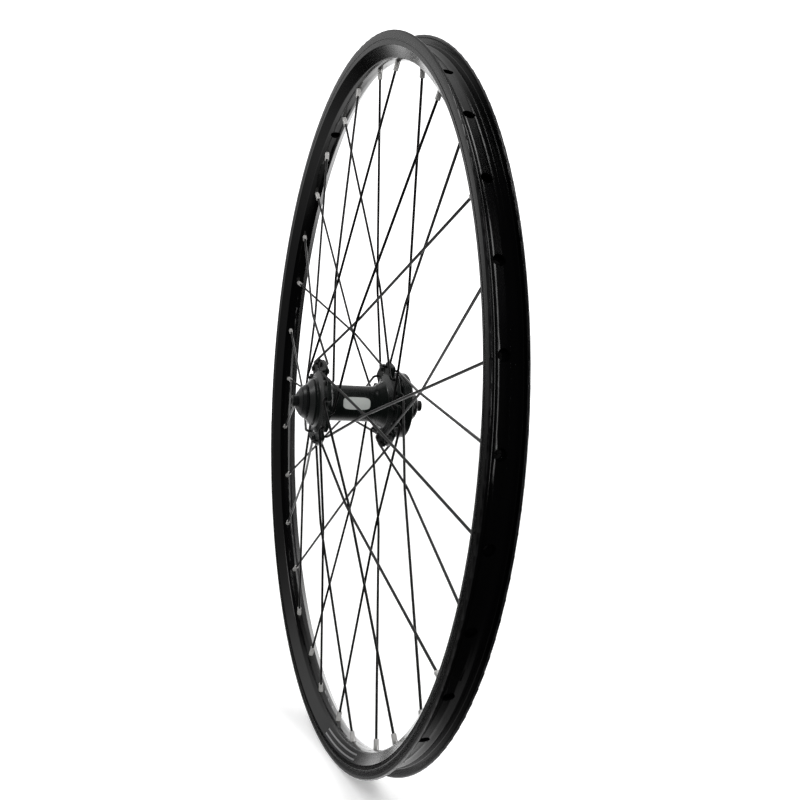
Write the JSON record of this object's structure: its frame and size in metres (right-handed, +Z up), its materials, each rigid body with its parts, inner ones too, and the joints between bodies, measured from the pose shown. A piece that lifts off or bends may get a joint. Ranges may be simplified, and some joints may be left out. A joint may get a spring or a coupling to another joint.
{
  "type": "spoked front bicycle wheel",
  "caption": "Spoked front bicycle wheel for a disc brake: double-wall rim, crossed spokes, flanged hub with sealed bearings and a quick-release axle.",
  "frame": {"origin": "centre of the wheel, on the axle's axis, midway between the rim's two edges and the axle's two ends", "axes": "+Y along the axle towards the brake-disc side, +Z up, +X forward"},
  "size_m": [0.572, 0.109, 0.572],
  "materials": {
    "rim_black": "black anodised, satin, with thin bright edge lines",
    "hub_black": "black anodised, semi-gloss, turned",
    "cap_black": "black anodised, satin",
    "spoke_black": "black coated stainless steel, semi-gloss",
    "nipple_nickel": "nickel plated, bright",
    "axle_steel": "turned, natural",
    "bearing_steel": "ground bearing steel",
    "cage_nylon": "natural nylon",
    "seal_rubber": "black contact seals"
  },
  "bodies": {
    "axle_assembly": {"axle": "axle_steel", "end_cap_left": "cap_black", "dust_cover_left": "cap_black", "end_cap_right": "cap_black", "dust_cover_right": "cap_black", "bearing_left_inner_race": "bearing_steel", "bearing_right_inner_race": "bearing_steel"},
    "wheel": {"rim": "rim_black", "hub_shell": "hub_black", "spoke_01": "spoke_black", "spoke_02": "spoke_black", "spoke_03": "spoke_black", "spoke_04": "spoke_black", "spoke_05": "spoke_black", "spoke_06": "spoke_black", "spoke_07": "spoke_black", "spoke_08": "spoke_black", "spoke_09": "spoke_black", "spoke_10": "spoke_black", "spoke_11": "spoke_black", "spoke_12": "spoke_black", "spoke_13": "spoke_black", "spoke_14": "spoke_black", "spoke_15": "spoke_black", "spoke_16": "spoke_black", "spoke_17": "spoke_black", "spoke_18": "spoke_black", "spoke_19": "spoke_black", "spoke_20": "spoke_black", "spoke_21": "spoke_black", "spoke_22": "spoke_black", "spoke_23": "spoke_black", "spoke_24": "spoke_black", "spoke_25": "spoke_black", "spoke_26": "spoke_black", "spoke_27": "spoke_black", "spoke_28": "spoke_black", "spoke_29": "spoke_black", "spoke_30": "spoke_black", "spoke_31": "spoke_black", "spoke_32": "spoke_black", "nipples_left": "nipple_nickel", "nipples_right": "nipple_nickel", "bearing_left_outer_race": "bearing_steel", "bearing_left_seals": "seal_rubber", "bearing_right_outer_race": "bearing_steel", "bearing_right_seals": "seal_rubber"},
    "left_ball_set": {"bearing_left_balls": "bearing_steel", "bearing_left_cage": "cage_nylon"},
    "right_ball_set": {"bearing_right_balls": "bearing_steel", "bearing_right_cage": "cage_nylon"}
  },
  "joints": [
    {"name": "wheel_spin", "type": "hinge", "parent": "axle_assembly", "child": "wheel", "pos_m": [0, 0, 0], "axis": [0, 1, 0], "continuous": true},
    {"name": "left_ball_spin", "type": "hinge", "parent": "axle_assembly", "child": "left_ball_set", "pos_m": [0, -0.0395, 0], "axis": [0, 1, 0], "continuous": true},
    {"name": "right_ball_spin", "type": "hinge", "parent": "axle_assembly", "child": "right_ball_set", "pos_m": [0, 0.0382, 0], "axis": [0, 1, 0], "continuous": true}
  ],
  "couplings": [
    {"joint": "left_ball_spin", "follows": "wheel_spin", "ratio": 0.58819},
    {"joint": "right_ball_spin", "follows": "wheel_spin", "ratio": 0.58819}
  ]
}
